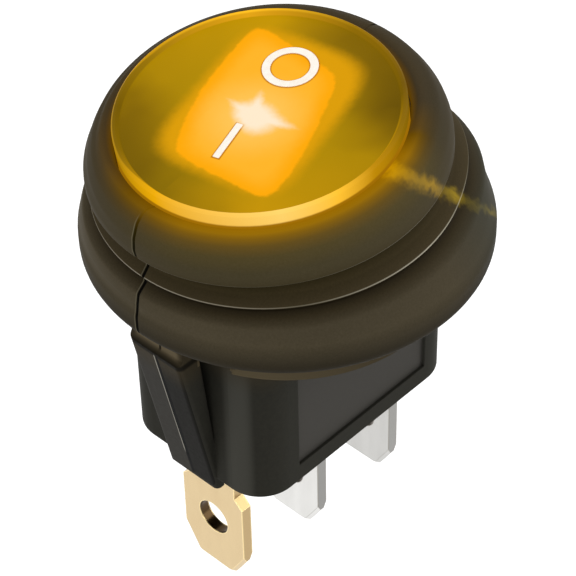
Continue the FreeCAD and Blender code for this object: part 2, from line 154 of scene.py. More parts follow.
# %% [markdown]
# Finishes are built up as a painter would. One colour is laid over another where a mask
# says so. A mask comes from a distance: 1 near something, 0 away from it, with a soft step
# between. Where a colour changes along a distance or a direction, it follows a list of
# stops. A ramp holds colours only, so a plain number goes in as a grey.

# %% Helpers for patterns
def over(tree, factor, under, upper):
    """One colour laid over another by a factor; each is a hex text or comes from a node."""
    return add(tree, "Mix", {0: factor, 6: under, 7: upper}, data_type="RGBA")


def mask(tree, distance, edge_in, edge_out):
    """1 where the distance is under edge_in, 0 past edge_out, and a smooth step between."""
    return add(tree, "MapRange", {"Value": distance, "From Min": edge_in, "From Max": edge_out,
                                  "To Min": 1.0, "To Max": 0.0},
               interpolation_type="SMOOTHSTEP")


def all_of(tree, *masks):
    """Several masks as one, which is 1 only where each of them is."""
    total = masks[0]
    for one in masks[1:]:
        total = add(tree, "Math", (total, one), operation="MULTIPLY")
    return total


def off_by(tree, value, centre=0.0):
    """How far a value is from a centre, to either side."""
    past = add(tree, "Math", (value, centre), operation="SUBTRACT")
    return add(tree, "Math", (past,), operation="ABSOLUTE")


def ramp_of(tree, value, stops):
    """A colour for each value, from (value, hex text) stops."""
    low, high = stops[0][0], stops[-1][0]
    share = add(tree, "MapRange", {"Value": value, "From Min": low, "From Max": high})
    made = add(tree, "ValToRGB", (share,))
    marks = made.color_ramp.elements
    marks.remove(marks[1])
    for i, (stop, text) in enumerate(stops):
        mark = marks[0] if i == 0 else marks.new(1.0)
        mark.position = (stop - low) / (high - low)
        mark.color = colour(text)
    return made


def grey(share):
    """The hex text of the grey that counts as this share of white in linear light."""
    level = 12.92 * share if share <= 0.0031308 else 1.055 * share ** (1 / 2.4) - 0.055
    return f"{round(255 * level):02X}" * 3


print("half of white is", grey(0.5))

# %% [markdown]
# A finish starts from the real material: its colour, how rough it is, and whether it is a
# metal. Every pattern reads places on the object in millimetres. On top comes a grain of the
# surface, which gives a little spread of colour and gloss, and a bump that catches light.
# Such a grain is mostly too fine for the picture, so it is drawn as coarse as it needs to be
# to show at all.

# %% Helpers for a finish
def start_finish(name, base, roughness, metallic=0.0, **sockets):
    """A new material: gives it, its tree, its shader, and places in millimetres."""
    made = bpy.data.materials.new(name)
    made.use_nodes = True
    made.diffuse_color = colour(base)
    tree = made.node_tree
    shader = tree.nodes["Principled BSDF"]
    sockets = {"Base_Color": base, "Roughness": roughness, "Metallic": metallic, **sockets}
    for socket, value in sockets.items():
        feed(tree, shader.inputs[socket.replace("_", " ")], value)
    here = add(tree, "TexCoord").outputs["Object"]
    places = add(tree, "Mapping", {"Vector": here, "Scale": (mm(1),) * 3},
                 vector_type="TEXTURE")
    return made, tree, shader, places


def texture(tree, shader, places, size, dark, light, rough, bump, depth, corner=0.0,
            stretch=(1, 1, 1)):
    """A grain of that size in mm: two colours, two roughnesses, and a bump that deep in mm."""
    if stretch != (1, 1, 1):
        places = add(tree, "Mapping", {"Vector": places, "Scale": stretch})
    grain = add(tree, "TexNoise", {"Vector": places, "Scale": 1 / size, "Detail": 4.0,
                                   "Roughness": 0.6})
    spread = add(tree, "MapRange", {"Value": grain, "From Min": 0.3, "From Max": 0.7})
    tint = over(tree, spread, dark, light)
    gloss = add(tree, "MapRange", {"Value": spread, "To Min": rough[0], "To Max": rough[1]})
    rise = {"Height": grain, "Strength": bump, "Distance": mm(depth)}
    if corner:
        rise["Normal"] = add(tree, "Bevel", {"Radius": mm(corner)}, samples=6)
    feed(tree, shader.inputs["Base Color"], tint)
    feed(tree, shader.inputs["Roughness"], gloss)
    feed(tree, shader.inputs["Normal"], add(tree, "Bump", rise))
    return tint


def dress(made, *names):
    """Puts a finish on parts that came from the CAD model."""
    for name in names:
        for slot in nodes[name].material_slots:
            slot.material = made


print("a place 1 mm away is", mm(1), "m away")

# %% [markdown]
# The switch stands in a plain studio: white all round for the camera and for reflections,
# an even soft light from the world, and three large soft lamps. The white comes from the
# kind of ray that looks, and so puts no more light on the switch.

# %% Studio
def background_rays(tree, *kinds):
    """1 for the kinds of ray that see the background, and 0 for all others."""
    ray = add(tree, "LightPath")
    shown = ray.outputs[f"Is {kinds[0]} Ray"]
    for kind in kinds[1:]:
        shown = add(tree, "Math", (shown, ray.outputs[f"Is {kind} Ray"]), operation="MAXIMUM")
    return shown


def lamp(name, towards, distance, size, power):
    """A square soft lamp that shines at the switch from that direction, in m and W."""
    spot = Vector(towards).normalized() * distance
    bpy.ops.object.light_add(type="AREA", location=spot,
                             rotation=spot.to_track_quat("Z", "Y").to_euler())
    made = bpy.context.object
    made.name = name
    made.data.size = size
    made.data.energy = power


world = bpy.data.worlds.new("studio")
bpy.context.scene.world = world
world.use_nodes = True
sky = world.node_tree
sky.nodes.clear()
even = add(sky, "Background", {"Color": "FFFFFF", "Strength": 0.55})
white = add(sky, "Background", {"Color": "FFFFFF", "Strength": 1.0})
shown = background_rays(sky, "Camera", "Transmission", "Glossy")
either = add(sky, "MixShader", (shown, even, white))
add(sky, "OutputWorld", {"Surface": either})

lamp("top", (0.1, 0.1, 1.0), distance=0.5, size=0.4, power=0.9)
lamp("right", right * 1.0 + back * 0.45 + up * 0.15, distance=0.5, size=0.35, power=0.75)
lamp("left", back * 0.5 - right * 1.0 + up * 0.2, distance=0.5, size=0.35, power=0.45)

# %% [markdown]
# The floor is a sheet of matt paper far below the tabs. It keeps the shadow that falls on
# it, and a little light of its own, for the camera only, makes it as pale as the world.

# %% Floor
deselect()
bpy.ops.mesh.primitive_plane_add(size=4, location=mm(0, 0, -90))
floor = bpy.context.object
floor.name = "floor"
bpy.ops.object.transform_apply(location=True)
paper, tree, shader, places = start_finish("floor_paper", "F4F4F4", 0.9)
texture(tree, shader, places, 2.0, "F2F2F2", "F6F6F6", (0.85, 0.95), 0.1, 0.02)
feed(tree, shader.inputs["Emission Strength"], background_rays(tree, "Camera", "Glossy"))
shader.inputs["Emission Color"].default_value = (0.35, 0.35, 0.35, 1)
floor.data.materials.append(paper)
print("the floor lies at", floor.data.vertices[0].co.z, "m")

# %% [markdown]
# The rubber boot is one soft moulding turned about the switch's axis: a bead that lies on
# the panel, a fold that lets the rocker move, a lip, and a dome that ends round the cap. A
# lathe shape like this is drawn as half of its cross-section, and then spun. The section's
# corners are listed with a radius each, and a helper replaces each corner by a soft curve.

# %% The boot's cross-section
def softened(corners, steps=6):
    """A closed outline with every corner (across, up, radius) turned into a small curve."""
    points = []
    for i, (across, high, radius) in enumerate(corners):
        here = Vector((across, high))
        before = Vector(corners[i - 1][:2]) - here
        after = Vector(corners[(i + 1) % len(corners)][:2]) - here
        half = before.angle(after) / 2
        # A curve takes less than half of each side, so that its neighbour has room too.
        reach = min(radius / math.tan(half), 0.48 * before.length, 0.48 * after.length)
        if reach < 0.01:
            points.append(here)
            continue
        first = here + before.normalized() * reach
        last = here + after.normalized() * reach
        for k in range(steps + 1):
            t = k / steps
            points.append(first * (1 - t) ** 2 + here * 2 * t * (1 - t) + last * t ** 2)
    return points


boot_corners = [(9.9, 0, .05), (11.35, 0.0, 1.2), (12.47, 0.65, 1.6), (12.47, 2.1, 1.4),
                (12.1, 3.25, 1.5), (11.7, 4.35, .8), (10.8, 5.1, .35), (11.0, 5.6, .08),
                (10.36, 6.2, .5), (10.0, 6.85, .6), (10.22, 7.5, .3), (10.74, 7.7, .1),
                (10.76, 8.4, 1.6), (10.55, 9.25, 1.8), (10.0, 10.25, 1.2), (9.2, 10.7, .8),
                (8.55, 10.38, .15), (8.55, 9.67, .05), (9.91, 9.67, .05), (9.91, 8.35, .1),
                (9.45, 7.42, .3), (9.45, 6.7, .5), (10.15, 5.3, .5), (11.25, 4.0, .5),
                (11.35, 3.2, .1), (10.1, 3.2, .05), (10.1, 2.4, .05), (11.2, 2.4, .1),
                (11.2, 0.8, .1), (9.9, 0.8, .05)]
lip_edge, dome_edge, mouth_edge = (11.0, 5.6), (10.74, 7.7), (8.55, 10.4)
section = softened(boot_corners)
print("the section has", len(section), "points")

# %% [markdown]
# To draw the section with Blender's own tools we start from a small plane, merge it to a
# single vertex, and extrude that vertex from point to point. Spin then turns the outline
# about the upright axis in small steps, and the seam where the turn closes is merged.

# %% Spin the boot
deselect()
bpy.ops.mesh.primitive_plane_add(size=mm(1), location=(0, 0, 0))
boot = bpy.context.object
boot.name = "rubber_boot"
bpy.ops.object.mode_set(mode="EDIT")
bpy.ops.mesh.select_all(action="SELECT")
bpy.ops.mesh.merge(type="CENTER")
bpy.ops.mesh.select_all(action="SELECT")
bpy.ops.transform.translate(value=mm(section[0].x, 0, section[0].y))
for near, far in zip(section, section[1:]):
    step = far - near
    bpy.ops.mesh.extrude_region_move(TRANSFORM_OT_translate={"value": mm(step.x, 0, step.y)})
bpy.ops.mesh.select_all(action="SELECT")
bpy.ops.mesh.remove_doubles(threshold=1e-7)

# The outline's two loose ends get an edge between them, which closes it.
outline = bmesh.from_edit_mesh(boot.data)
loose = [v for v in outline.verts if len(v.link_edges) == 1]
if len(loose) == 2:
    outline.edges.new(loose)
bmesh.update_edit_mesh(boot.data)

bpy.ops.mesh.select_all(action="SELECT")
bpy.ops.mesh.spin(steps=128, angle=2 * math.pi, center=(0, 0, 0), axis=(0, 0, 1))
bpy.ops.mesh.select_all(action="SELECT")
bpy.ops.mesh.remove_doubles(threshold=1e-6)
bpy.ops.mesh.normals_make_consistent(inside=False)
bpy.ops.object.mode_set(mode="OBJECT")
print("boot:", len(boot.data.vertices), "points,", len(boot.data.polygons), "faces")

# %% [markdown]
# A moulded boot shows where its mould parted: a fine groove down each end. The spin has a
# row of edges exactly there. We select those on the outside, bevel them into two narrow
# strips, and sink the middle line into the rubber. A painted line alone would not catch the
# light on one side.

# %% The mould line
strip_width, groove_depth = 0.11, 0.09


def outside(vertex):
    """True on the boot's outer skin, from the bead's foot up to the crest."""
    away = vertex.normal.x * (1 if vertex.co.x > 0 else -1)
    return away > 0.15 or vertex.normal.z > 0.7


def on_mould_line(vertex, lowest):
    """True where the mould parted, above that height in mm."""
    return abs(vertex.co.y) < 1e-6 and outside(vertex) and vertex.co.z > mm(lowest)


bpy.ops.object.mode_set(mode="EDIT")
bpy.ops.mesh.select_mode(type="EDGE")
bpy.ops.mesh.select_all(action="DESELECT")
work = bmesh.from_edit_mesh(boot.data)
work.normal_update()
for edge in work.edges:
    edge.select = all(on_mould_line(v, 0.2) for v in edge.verts)
bmesh.update_edit_mesh(boot.data)
bpy.ops.mesh.bevel(offset=mm(strip_width), segments=2, affect="EDGES")
work = bmesh.from_edit_mesh(boot.data)
work.normal_update()
sunk = [v for v in work.verts if on_mould_line(v, 0.3)]
for vertex in sunk:
    vertex.co -= vertex.normal * mm(groove_depth)
bmesh.update_edit_mesh(boot.data)
bpy.ops.object.mode_set(mode="OBJECT")
print("the mould line sinks", len(sunk), "points")

# %% [markdown]
# The boot is made for a level rocker, and is pulled over by a pressed one: its foot stays
# flat, its crest leans as far as the cap, and what lies between takes a growing share. The
# pull also settles its outer skin. At the far left the dome goes in and its crest down, and
# at the right the shelf between bead and dome comes out. We store each point's level place
# first, so that patterns on the rubber follow the moulding.

# %% Lean the boot
shares = [(0, 0), (2.75, 0), (3.32, .25), (4.32, .42), (5.15, .56), (5.6, .6), (6.25, .68),
          (6.9, .78), (7.51, .84), (7.72, .88), (8.35, .92), (9.25, .97), (10.3, 1), (20, 1)]


def share_at(high):
    """How much of the rocker's lean the rubber takes at that height in mm."""
    for (low, less), (top, more) in zip(shares, shares[1:]):
        if high <= top:
            return less + (more - less) * (high - low) / (top - low)
    return 1.0


def rise(value, start, end):
    """0 up to the start, 1 from the end on, and straight between."""
    return min(max((value - start) / (end - start), 0.0), 1.0)


def swell(direction, centre, reach):
    """1 in the centre direction, and a smooth fall to 0 at that many degrees from it."""
    away = abs((direction - centre + 180) % 360 - 180)
    return 0.5 + 0.5 * math.cos(math.pi * min(away / reach, 1.0))


def settled(spot):
    """Where a point of the boot's outer skin goes as the rubber settles, in mm."""
    out, high = math.hypot(spot.x, spot.y), spot.z
    direction = math.degrees(math.atan2(spot.y, spot.x))
    skin = rise(out, 9.1, 9.8) if high > 9.9 else float(out > 10.05)
    dome = skin * rise(high, 7.9, 8.9)
    push = dome * (0.08 * swell(direction, -30, 40) - 0.4 * swell(direction, 115, 80))
    shelf = float(out > 10.6 or high > 5.3) * rise(high, 3.1, 4.1) * rise(high, 6.9, 5.7)
    push += 0.42 * shelf * swell(direction, -25, 42)
    sink = 0.2 * rise(high, 9.9, 10.3) * swell(direction, 95, 90)
    scale = 1 + push / max(out, 1.0)
    return Vector((spot.x * scale, spot.y * scale, high - sink))


level_place = boot.data.attributes.new("level_place", "FLOAT_VECTOR", "POINT")
for i, vertex in enumerate(boot.data.vertices):
    spot = vertex.co * 1000
    level_place.data[i].vector = spot
    vertex.co = leaned(share_at(spot.z)) @ (settled(spot) / 1000)
deselect()
boot.select_set(True)
bpy.context.view_layer.objects.active = boot
bpy.ops.object.shade_smooth_by_angle(angle=math.radians(40))
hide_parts("sealing_boot")
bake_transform(boot)
print("the boot's top is at", round(max(v.co.z for v in boot.data.vertices) * 1000, 2), "mm")

# %% [markdown]
# The rubber is moulded in a blasted mould, which leaves it dark and matt with the faintest
# grain. Every pattern reads the level places that we stored: the height gives painted shade
# in the folds, the direction gives the bead a painted shade that is darker and cooler on its
# right side, and the distance from the edges of lip and dome gives their painted pale
# highlights. Real shadows alone come out softer than the folds of a thin boot, so the folds
# get painted shade as well.

# %% Finish: moulded rubber
rubber, tree, shader, places = start_finish("moulded_rubber", "3E3827", 0.6,
                                            Specular_IOR_Level=0.025)
grain = texture(tree, shader, places, 0.12, "463F2F", "4E4636", (0.55, 0.66), 0.25, 0.01)


def direction_of(tree, places):
    """The direction of a place from the upright axis, in degrees from +X."""
    split = add(tree, "SeparateXYZ", (places,))
    turn = add(tree, "Math", (split.outputs[1], split.outputs[0]), operation="ARCTAN2")
    return add(tree, "Math", (turn, 180 / math.pi), operation="MULTIPLY")


def from_axis(tree, places):
    """The distance of a place from the upright axis."""
    flat = add(tree, "VectorMath", (places, (1, 1, 0)), operation="MULTIPLY")
    return add(tree, "VectorMath", (flat,), operation="LENGTH")


at = add(tree, "Attribute", attribute_name="level_place").outputs["Vector"]
angle = direction_of(tree, at)
radius = from_axis(tree, at)
_, to_side, high = add(tree, "SeparateXYZ", (at,)).outputs


def ring_distance(ring_radius, ring_height):
    """Distance in mm from a level ring on the boot."""
    here = add(tree, "CombineXYZ", (radius, high))
    return add(tree, "VectorMath", (here, (ring_radius, ring_height, 0)), operation="DISTANCE")


# Painted shade by height: dark in the folds, under the lip and under the bead.
folds = ramp_of(tree, high, [
    (0, "585858"), (1.2, "B0B0B0"), (2.8, "FFFFFF"), (4.2, "FAFAFA"), (4.8, "BEB8A8"),
    (5.35, "5E5646"), (5.6, "E6DFCC"), (6.3, "D2CAB4"), (7.1, "80785F"), (7.66, "4C4630"),
    (7.8, "D8D4CA"), (8.6, "E6E6E6"), (10.2, "D2D2D2"), (11, "D2D2D2")])
# Painted light and shade by direction: darker and cooler on the bead's right side.
side_shading = ramp_of(tree, angle, [
    (-180, grey(0.88)), (-158, grey(1.0)), (-125, grey(0.84)), (-85, grey(0.84)),
    (-60, "CAD7E5"), (-30, "BDCAD6"), (0, "C4D1DF"), (60, grey(0.8)), (180, grey(0.88))])
side_shading = add(tree, "VectorMath", {0: side_shading, "Scale": 1.2}, operation="SCALE")
side_shaded = add(tree, "VectorMath", (folds, side_shading), operation="MULTIPLY")
folds = over(tree, mask(tree, high, 4.2, 5.0), folds, side_shaded)
shaded = add(tree, "VectorMath", (grain, folds), operation="MULTIPLY")
# Painted highlights: a pale line along the lip's edge, and a dimmer one along the dome's.
lip_light = ramp_of(tree, angle, [
    (-180, "A39B88"), (-148, "8E8674"), (-130, "6E6856"), (-85, "B4AD9B"), (-64, "8E8774"),
    (-48, "5E5846"), (0, "4E4939"), (120, "5A5444"), (180, "A39B88")])
edge_highlighted = over(tree, mask(tree, ring_distance(*lip_edge), 0.02, 0.085), shaded, lip_light)
dim = add(tree, "VectorMath", {0: lip_light, "Scale": 0.55}, operation="SCALE")
edge_highlighted = over(tree, mask(tree, ring_distance(*dome_edge), 0.02, 0.09), edge_highlighted, dim)
boot.data.materials.clear()
boot.data.materials.append(rubber)
print("finish on", boot.name)

# %% [markdown]
# The mould line's groove gets painted shade, a dark hair, and the edge beside it a paler
# painted highlight. Both end at the mouth, where the rubber was trimmed.

# %% The mould line's colours
line_width = 0.24
mouth_distance = ring_distance(*mouth_edge)
untrimmed = mask(tree, mouth_distance, 1.3, 0.8)
beside = all_of(tree, mask(tree, off_by(tree, to_side, 0.15), 0.02, 0.05), untrimmed)
seam = all_of(tree, mask(tree, off_by(tree, to_side), 0.07, line_width / 2), untrimmed)
seamed = over(tree, seam, over(tree, beside, edge_highlighted, "5E5846"), "080704")
print("the mould line is", line_width, "mm wide")

# %% [markdown]
# Light from the cap spills on the rubber: full at the mouth, gone within five millimetres,
# and nearly all of it on the near side. It has a colour for each distance from the mouth,
# and a strength for each direction round the boot. It is emission, so it doesn't need the
# lamp inside to be bright enough. The inner slope of the mouth faces the cap, so it is lit
# all round. Where amber light falls, the rubber sends back no blue, so its own colour turns
# amber there too.

# %% The glow on the rubber
spill = ramp_of(tree, mouth_distance, [
    (0, "906200"), (0.7, "8E6400"), (0.95, "745200"), (1.3, "523C00"), (1.8, "342A00"),
    (2.6, "1C1800"), (3.8, "0C0A00"), (5.2, "000000")])
sides = ramp_of(tree, angle, [
    (-180, grey(0.55)), (-164, grey(0.9)), (-140, grey(1.0)), (-74, grey(1.0)),
    (-60, grey(0.24)), (-46, grey(0.04)), (20, grey(0.03)), (120, grey(0.05)),
    (150, grey(0.15)), (180, grey(0.55))])
inward = all_of(tree, mask(tree, radius, 8.4, 9.15), 0.36)
lit_side = add(tree, "Math", (sides, inward), operation="MAXIMUM")
spilled = add(tree, "VectorMath", {0: spill, "Scale": lit_side}, operation="SCALE")
ambered = add(tree, "Math", (lit_side, 2.5), operation="MULTIPLY", use_clamp=True)
ambered = all_of(tree, ambered, mask(tree, mouth_distance, 0.6, 1.9))
feed(tree, shader.inputs["Base Color"], over(tree, ambered, seamed, "352703"))
print("the glow is in", len(tree.nodes), "nodes with the rest of the rubber")

# %% [markdown]
# One glint runs from the mouth down the right side. It lies where a flat plane cuts the
# boot, narrows on its way down, and two spots on it are brighter. Noise frays its edges. A
# real reflection would slide as the eye moves, and a painted one stays where it is seen.

# %% The glint on the rubber
plane, offset = (0.692, 0.099, 0.715), 6.18
downwards, forwards = (0.684, -0.729, -0.017), (-0.53, -0.514, 0.675)
noise = add(tree, "TexNoise", {"Vector": places, "Scale": 2.0, "Detail": 2.0})
fray = add(tree, "Math", (noise, 0.8, -0.4), operation="MULTIPLY_ADD")
off = add(tree, "VectorMath", (places, plane), operation="DOT_PRODUCT")
off = add(tree, "Math", (off, offset), operation="SUBTRACT")
off = add(tree, "Math", (off, fray), operation="ADD")
along = add(tree, "VectorMath", (places, downwards), operation="DOT_PRODUCT")
front = add(tree, "VectorMath", (places, forwards), operation="DOT_PRODUCT")
beam = ramp_of(tree, along, [
    (4.7, "000000"), (5.3, "8A6400"), (6.4, "866400"), (7.3, "7E6002"), (8.0, "927004"),
    (8.8, "5E4C06"), (9.6, "8C7406"), (10.3, "463C04"), (11.4, "383204"), (12.0, "5A4E08"),
    (12.7, "000000")])
width = add(tree, "Math", (along, -0.08, 1.4), operation="MULTIPLY_ADD")
share = add(tree, "Math", (off_by(tree, off), width), operation="DIVIDE")
narrow = add(tree, "Math", (mask(tree, share, 0.0, 1.0), 1.7), operation="POWER")
strength = all_of(tree, narrow, mask(tree, front, 1.0, -0.5))
glint = add(tree, "VectorMath", {0: beam, "Scale": strength}, operation="SCALE")
lit = add(tree, "VectorMath", (spilled, glint), operation="ADD")
feed(tree, shader.inputs["Emission Color"], lit)
shader.inputs["Emission Strength"].default_value = 1.0
print("the glint's plane faces", plane)

# %% [markdown]
# The cap is amber polycarbonate lit from behind. What you see through it is painted: the
# olive plate, the bright window with its softer border, and the star of the lamp itself.
# Light that really passes through plastic is slow to render and full of noise, so one
# picture drives both the colour and the emission: it glows, and still takes some light from
# the room. First come places on the cap, with the rocker's lean taken out. Flow in the
# plastic makes every edge a little ragged, so a second set of places strays from the first.

# %% Finish: lit amber plastic
stray = 0.32
amber, tree, shader, here = start_finish("lit_amber_plastic", "8F7003", 0.45,
                                         Specular_IOR_Level=0.02)
local = add(tree, "Mapping", {"Vector": here, "Location": (0, 0, axle_height),
                              "Rotation": (0, lean, 0)}, vector_type="TEXTURE")
flat = add(tree, "VectorMath", (local, (1, 1, 0)), operation="MULTIPLY")
cap_angle = direction_of(tree, flat)
cap_radius = from_axis(tree, flat)
ragged = add(tree, "TexNoise", {"Vector": flat, "Scale": 2.2, "Detail": 4.0,
                                "Roughness": 0.6})
centred = add(tree, "VectorMath", (ragged.outputs["Color"], (0.5, 0.5, 0.5)),
              operation="SUBTRACT")
nudge = add(tree, "VectorMath", {0: centred, "Scale": stray}, operation="SCALE")
wavy = add(tree, "VectorMath", (flat, nudge), operation="ADD")
print("edges on the cap stray by up to", stray / 2, "mm")

# %% [markdown]
# The olive plate has a colour for each direction: brighter at its near and far edge, darker
# left and right, with a soft mottle of flow in the plastic.

# %% The plate's light
mottle = add(tree, "TexNoise", {"Vector": flat, "Scale": 0.35, "Detail": 1.0})
swirl = add(tree, "Math", (mottle, 24.0, -12.0), operation="MULTIPLY_ADD")
plate = ramp_of(tree, add(tree, "Math", (cap_angle, swirl), operation="ADD"), [
    (-180, "886B02"), (-138, "C49303"), (-85, "AC8502"), (-52, "6A5101"), (0, "846502"),
    (42, "C49502"), (100, "AC8502"), (127, "806202"), (160, "785D02"), (180, "886B02")])
plain = over(tree, mask(tree, cap_radius, 2.5, 7.9), plate, "B08A02")
print("the plate has", len(plate.color_ramp.elements), "colours round it")

# %% [markdown]
# A pattern needs distances. How far a place lies past one straight line is a dot product,
# and the distance to a shape with straight sides is the largest of those. The smooth
# maximum rounds its corners. The window has a crisp core, and a softer border that the lamp
# throws slightly askew, so each gets its own sides.

# %% The bright window
def straight_sided(places, sides, corner):
    """Distance in mm from a shape whose sides are (direction in degrees, reach in mm)."""
    total = None
    for direction, reach in sides:
        facing = (math.cos(math.radians(direction)), math.sin(math.radians(direction)), 0)
        dot = add(tree, "VectorMath", (places, facing), operation="DOT_PRODUCT")
        past = add(tree, "Math", (dot, reach), operation="SUBTRACT")
        if total:
            past = add(tree, "Math", (total, past, corner), operation="SMOOTH_MAX")
        total = past
    return total


border_sides = [(-171, 5.65), (-76, 4.5), (9, 6.2), (102, 4.4)]
core_sides = [(-176, 5.25), (-85, 4.8), (-66, 3.62), (-4, 4.95), (100, 4.2), (119, 4.1)]
border = straight_sided(wavy, border_sides, 4.2)
core = straight_sided(wavy, core_sides, 1.7)
halo = over(tree, mask(tree, border, -0.6, 0.5), plain, "DC9D04")
pad = over(tree, mask(tree, core, -0.12, 0.12), halo, "FFAA06")
warm = over(tree, mask(tree, core, -1.3, -0.1), pad, "FFB528")
print("the window's core has", len(core_sides), "sides, its border", len(border_sides))

# %% [markdown]
# The lamp's own light shows as a small ragged star. Its edge is a radius for each
# direction. A ramp holds colours, so each radius becomes a grey: white would be 3 mm.

# %% The lamp's star
star_centre, white_radius = (-0.5, 0.0, 0), 3.0
spot = add(tree, "Mapping", {"Vector": wavy, "Location": star_centre}, vector_type="TEXTURE")
points = [(-180, 1.06), (-149, 1.32), (-119, 1.5), (-86, 1.62), (-75, 2.57), (-62, 1.7),
          (-41, 1.28), (12, 1.15), (30, 1.87), (45, 1.3), (57, 1.21), (75, 1.4), (86, 1.93),
          (97, 1.4), (142, 1.03), (180, 1.06)]
edge = ramp_of(tree, direction_of(tree, spot),
               [(way, grey(reach / white_radius)) for way, reach in points])
edge = add(tree, "Math", (edge, white_radius), operation="MULTIPLY")
away = add(tree, "VectorMath", (spot,), operation="LENGTH")
star = add(tree, "Math", (away, edge), operation="DIVIDE")
haze = over(tree, mask(tree, away, 0.6, 4.0), warm, "FFC658")
bright = mask(tree, star, 0.5, 1.28)
starry = over(tree, bright, haze, "FFEACC")
print("the star has", len(points) - 1, "directions")

# %% [markdown]
# Pad printing leaves a hair-thin darker edge round each mark, where the ink sank in. It is
# drawn on the plate, just outside the marks that we lay on it later, and fades where the
# lamp's star outshines it.

# %% The edges of the printed marks
ring_centre, ring_outer, ring_inner = (3.71, 1.03), 1.65, 1.17
bar_centre, bar_turn, bar_size = (-2.8, -0.21), math.radians(14.9), (2.85, 0.4)
ink_reach = (1.43, 0.21)
bar = add(tree, "Mapping", {"Vector": flat, "Location": (*bar_centre, 0),
                            "Rotation": (0, 0, bar_turn)}, vector_type="TEXTURE")
bar = add(tree, "VectorMath", (bar,), operation="ABSOLUTE")
bar = add(tree, "VectorMath", (bar, (*ink_reach, 0)), operation="SUBTRACT")
bar = add(tree, "SeparateXYZ", (bar,))
bar_edge = add(tree, "Math", (bar.outputs[0], bar.outputs[1]), operation="MAXIMUM")
from_centre = add(tree, "VectorMath", (flat, (*ring_centre, 0)), operation="DISTANCE")
ring_edge = off_by(tree, from_centre, (ring_outer + ring_inner) / 2)
ring_edge = add(tree, "Math", (ring_edge, (ring_outer - ring_inner) / 2), operation="SUBTRACT")
near_mark = add(tree, "Math", (bar_edge, ring_edge), operation="MINIMUM")
dull = add(tree, "Math", (1.0, bright), operation="SUBTRACT")
inked = all_of(tree, mask(tree, near_mark, 0.02, 0.12), dull)
printed = over(tree, inked, starry, "C27A0A")
print("the ink's edge is 0.1 mm wide")

# %% [markdown]
# The rim is the raised edge of the cap. Its colour goes round with the direction: almost
# yellow at the near edge, amber at the far one and dull at the right, where the boot
# stands between it and the lamp. At the left only a thin line of it is bright, and the foot
# of its wall is a darker amber all round.

# %% The rim's light
rim = ramp_of(tree, cap_angle, [
    (-180, "EAAA08"), (-128, "FFD26A"), (-106, "FFC234"), (-88, "BC8808"), (-66, "8E6A06"),
    (-40, "705408"), (0, "967004"), (48, "FFC022"), (95, "C08E08"), (125, "A88010"),
    (155, "B08408"), (180, "EAAA08")])
rim = add(tree, "VectorMath", {0: rim, "Scale": 1.08}, operation="SCALE")
slope = ramp_of(tree, cap_angle, [
    (-180, "C08E08"), (-90, "D09A06"), (-45, "765A04"), (0, "906C04"), (48, "E8A818"),
    (95, "9A7606"), (125, "765A04"), (150, "866604"), (180, "C08E08")])
inner = over(tree, mask(tree, cap_radius, 8.05, 7.99), printed, slope)
from_left = off_by(tree, cap_angle, 134)
thinner = all_of(tree, mask(tree, from_left, 20, 42), 0.19)
from_slope = add(tree, "Math", (cap_radius, thinner), operation="SUBTRACT")
picture = over(tree, mask(tree, from_slope, 8.22, 8.14), inner, rim)
above_axle = add(tree, "SeparateXYZ", (local,)).outputs[2]
wall = add(tree, "Math", (cap_radius, 8.3), operation="GREATER_THAN")
foot = all_of(tree, mask(tree, above_axle, 14.68, 14.84), wall)
picture = over(tree, foot, picture, "A87408")
feed(tree, shader.inputs["Emission Color"], picture)
shader.inputs["Emission Strength"].default_value = 0.84
dim = add(tree, "VectorMath", {0: picture, "Scale": 0.17}, operation="SCALE")
feed(tree, shader.inputs["Base Color"], dim)
dress(amber, "amber_cap")
print("the cap glows at", shader.inputs["Emission Strength"].default_value)

# %% [markdown]
# The O and I are printed on the cap in white. A print is a film with almost no height. It
# could be a colour of the plate too, but as a thin flat piece it stays crisp from every
# side. The ring starts as a circle whose edge is extruded and scaled in; the bar is a plane.
# Both get their thickness from Solidify, are laid on the plate, and ride on the rocker.

# %% The printed marks
plate_height, film = 10.955, 0.04


def finish_mark(name, spot, turn=0.0):
    """Gives the flat mark its film thickness, lays it on the cap and makes it ride."""
    made = bpy.context.object
    made.name = name
    thick = made.modifiers.new("film", "SOLIDIFY")
    thick.thickness = mm(film)
    thick.offset = 1
    bpy.ops.object.modifier_apply(modifier="film")
    lay = leaned() @ Matrix.Translation(mm(*spot, plate_height)) @ Matrix.Rotation(turn, 4, "Z")
    made.data.transform(lay)
    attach(made, "rocker")
    return made


deselect()
bpy.ops.mesh.primitive_circle_add(vertices=72, radius=mm(ring_outer), location=(0, 0, 0))
bpy.ops.object.mode_set(mode="EDIT")
bpy.ops.mesh.select_all(action="SELECT")
bpy.ops.mesh.extrude_edges_move()
bpy.ops.transform.resize(value=(ring_inner / ring_outer,) * 3)
bpy.ops.mesh.select_all(action="SELECT")
bpy.ops.mesh.normals_make_consistent(inside=False)
bpy.ops.object.mode_set(mode="OBJECT")
ring_mark = finish_mark("mark_off_ring", ring_centre)

deselect()
bpy.ops.mesh.primitive_plane_add(size=mm(1), location=(0, 0, 0))
bpy.ops.object.mode_set(mode="EDIT")
bpy.ops.mesh.select_all(action="SELECT")
bpy.ops.transform.resize(value=(*bar_size, 1))
bpy.ops.mesh.bevel(offset=mm(0.05), segments=2, affect="VERTICES")
bpy.ops.object.mode_set(mode="OBJECT")
bar_mark = finish_mark("mark_on_bar", bar_centre, bar_turn)
print("marks:", ring_mark.name, bar_mark.name)

# %% [markdown]
# Pad print ink dries to a smooth, slightly warm white. It is lit a little from behind, so it
# glows faintly.

